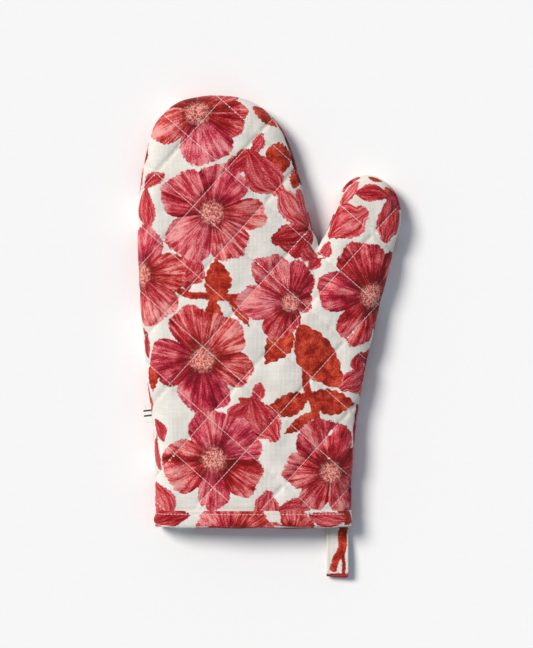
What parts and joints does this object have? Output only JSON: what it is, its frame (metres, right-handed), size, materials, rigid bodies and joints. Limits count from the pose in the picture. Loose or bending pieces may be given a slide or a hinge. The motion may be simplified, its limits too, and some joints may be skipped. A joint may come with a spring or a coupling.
{
  "type": "oven mitt",
  "caption": "Quilted oven mitt in floral printed cotton, with a bound cuff, a hanging loop at the thumb end and a small woven tab on the side seam.",
  "frame": {"origin": "centre of the whole object's plan box, on the plane that the mitt lies on", "axes": "+Y from the cuff to the fingertips, +X to the thumb's side, +Z out of the front panel"},
  "size_m": [0.1979, 0.3637, 0.0283],
  "materials": {
    "printed_cotton": "matte plain-weave cotton, floral print",
    "cotton_wadding": "matte lofted fibre",
    "lining_cotton": "matte plain-weave cotton",
    "sewing_thread": "twisted cotton thread",
    "woven_label": "tight woven tape"
  },
  "bodies": {
    "mitt": {"shell_front": "printed_cotton", "wadding_front": "cotton_wadding", "lining_front": "lining_cotton", "shell_back": "printed_cotton", "wadding_back": "cotton_wadding", "lining_back": "lining_cotton", "cuff_binding": "printed_cotton", "quilt_thread_front": "sewing_thread", "quilt_thread_back": "sewing_thread", "binding_thread": "sewing_thread", "loop_tack_thread": "sewing_thread", "side_seam_thread": "sewing_thread"},
    "loop": {"hanging_loop": "printed_cotton", "loop_edge_thread": "sewing_thread"},
    "tab": {"side_tab": "woven_label"}
  },
  "joints": [
    {"name": "loop_swing", "type": "hinge", "parent": "mitt", "child": "loop", "pos_m": [0.0513, -0.14425, 0.0045], "axis": [-1, 0, 0], "range_deg": [-80, 75]},
    {"name": "tab_swing", "type": "hinge", "parent": "mitt", "child": "tab", "pos_m": [-0.089, -0.0567, 0.0105], "axis": [-0.1184, 0.993, 0], "range_deg": [-85, 85]}
  ]
}
